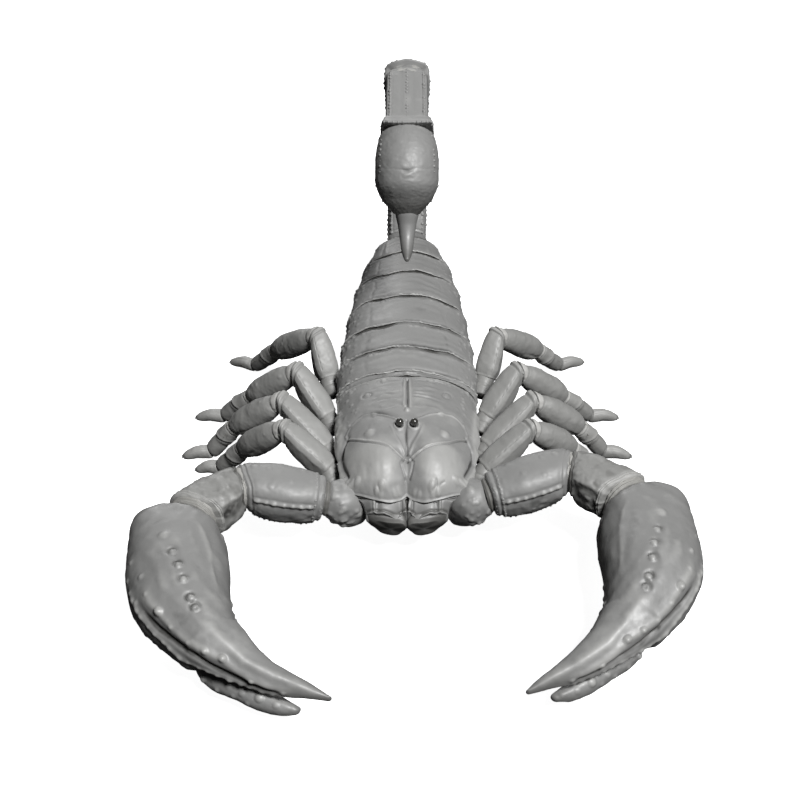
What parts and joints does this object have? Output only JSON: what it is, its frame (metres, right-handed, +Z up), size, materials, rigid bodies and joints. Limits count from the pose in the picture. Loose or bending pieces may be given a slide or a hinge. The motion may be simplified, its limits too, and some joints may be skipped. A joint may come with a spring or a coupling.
{
  "type": "scorpion model",
  "caption": "Still, life-size model of a desert burrowing scorpion standing with its claws held forward and its tail arched over its back.",
  "frame": {"origin": "bottom centre of the whole animal's box, on the floor under its belly", "axes": "the head faces -Y, +Z is up and +X is the animal's own left"},
  "size_m": [0.0632, 0.089, 0.0379],
  "materials": {
    "shell": "satin",
    "belly": "satin",
    "limb": "satin",
    "claw": "satin",
    "sting": "gloss",
    "eye": "gloss"
  },
  "bodies": {
    "root": {"carapace": "shell", "tergite_1": "shell", "tergite_2": "shell", "tergite_3": "shell", "tergite_4": "shell", "tergite_5": "shell", "tergite_6": "shell", "tergite_7": "shell", "tail_1": "shell", "tail_2": "shell", "tail_3": "shell", "tail_4": "shell", "tail_5": "shell", "vesicle": "shell", "trochanter_left": "shell", "trochanter_right": "shell", "arm_femur_left": "shell", "arm_femur_right": "shell", "coxae": "belly", "sternite_3": "belly", "sternite_4": "belly", "sternite_5": "belly", "sternite_6": "belly", "sternite_7": "belly", "comb_left": "belly", "comb_right": "belly", "arm_patella_left": "limb", "arm_patella_right": "limb", "leg1_femur_left": "limb", "leg1_femur_right": "limb", "leg1_foot_left": "limb", "leg1_foot_right": "limb", "leg2_femur_left": "limb", "leg2_femur_right": "limb", "leg2_foot_left": "limb", "leg2_foot_right": "limb", "leg3_femur_left": "limb", "leg3_femur_right": "limb", "leg3_foot_left": "limb", "leg3_foot_right": "limb", "leg4_femur_left": "limb", "leg4_femur_right": "limb", "leg4_foot_left": "limb", "leg4_foot_right": "limb", "hand_left": "claw", "hand_right": "claw", "finger_left": "claw", "finger_right": "claw", "chelicera_left": "claw", "chelicera_right": "claw", "chelicera_fingers_left": "claw", "chelicera_fingers_right": "claw", "sting": "sting", "eye_left": "eye", "eye_right": "eye"}
  },
  "joints": []
}
